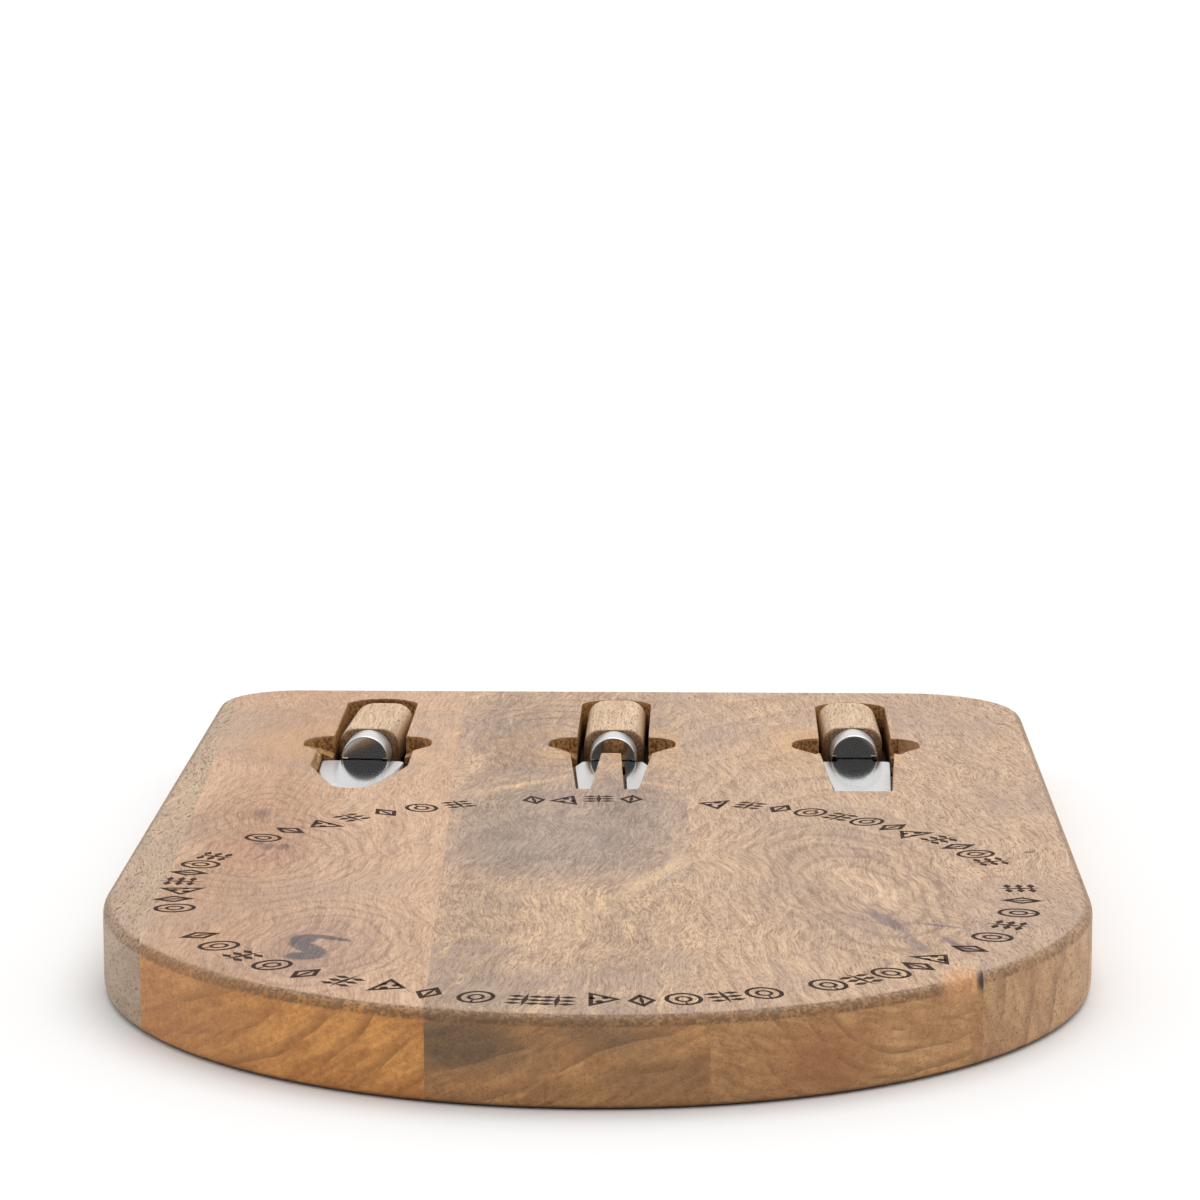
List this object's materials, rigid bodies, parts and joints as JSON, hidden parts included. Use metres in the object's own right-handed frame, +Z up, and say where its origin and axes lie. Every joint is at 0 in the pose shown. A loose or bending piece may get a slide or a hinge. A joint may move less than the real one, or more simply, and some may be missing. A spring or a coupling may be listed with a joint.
{
  "type": "cheese board with knives",
  "caption": "Round-fronted wooden serving board with routed pockets that hold a spade knife, a tined fork and a chisel knife.",
  "frame": {"origin": "middle of the board's underside, on the surface that the board stands on", "axes": "+Y from the rounded front to the straight back edge with the handles, +Z up, +X to the right when seen from the rounded front"},
  "size_m": [0.258, 0.3984, 0.0246],
  "materials": {
    "board_wood": "pale sanded hardwood, thin matt oil",
    "handle_wood": "light sanded hardwood, satin",
    "blade_steel": "mirror-polished stainless steel",
    "ferrule_steel": "mirror-polished"
  },
  "bodies": {
    "board": {"board_stave_1": "board_wood", "board_stave_2": "board_wood", "board_stave_3": "board_wood", "board_stave_4": "board_wood", "board_stave_5": "board_wood"},
    "spade": {"spade_blade": "blade_steel", "spade_ferrule": "ferrule_steel", "spade_handle": "handle_wood"},
    "fork": {"fork_blade": "blade_steel", "fork_ferrule": "ferrule_steel", "fork_handle": "handle_wood"},
    "chisel": {"chisel_blade": "blade_steel", "chisel_ferrule": "ferrule_steel", "chisel_handle": "handle_wood"}
  },
  "joints": [
    {"name": "spade_lift", "type": "slide", "parent": "board", "child": "spade", "axis": [0, 0, 1], "range_m": [0, 0.06]},
    {"name": "fork_lift", "type": "slide", "parent": "board", "child": "fork", "axis": [0, 0, 1], "range_m": [0, 0.06]},
    {"name": "chisel_lift", "type": "slide", "parent": "board", "child": "chisel", "axis": [0, 0, 1], "range_m": [0, 0.06]}
  ]
}
